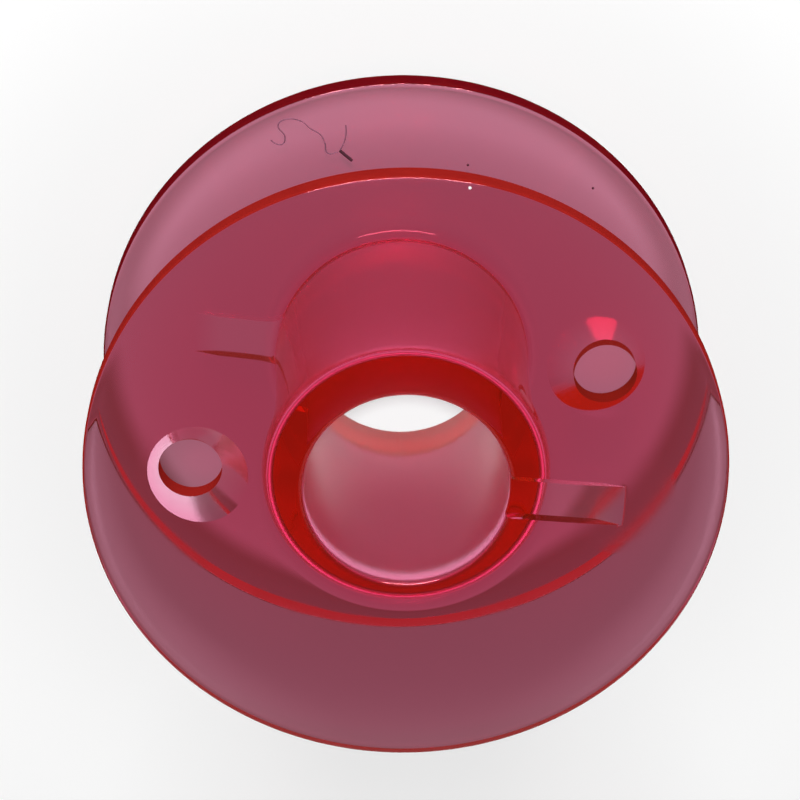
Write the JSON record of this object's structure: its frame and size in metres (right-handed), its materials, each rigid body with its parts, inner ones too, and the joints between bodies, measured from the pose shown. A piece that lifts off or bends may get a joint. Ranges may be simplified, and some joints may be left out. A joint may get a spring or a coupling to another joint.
{
  "type": "sewing machine bobbin",
  "caption": "Clear pink plastic sewing machine bobbin: a tubular hub with a domed round flange at each end, each flange with a countersunk thread hole and a drive slot.",
  "frame": {"origin": "centre of the bore on the flat ring that the bobbin stands on", "axes": "+Z along the bore, up through the bobbin; the slot of the upper flange points along +X and its thread hole lies on -X"},
  "size_m": [0.0204, 0.0204, 0.0111],
  "materials": {
    "clear_pink_plastic": "clear pink-red moulded plastic, glossy, with brighter orange-red edges"
  },
  "bodies": {
    "root": {"bobbin": "clear_pink_plastic"}
  },
  "joints": []
}
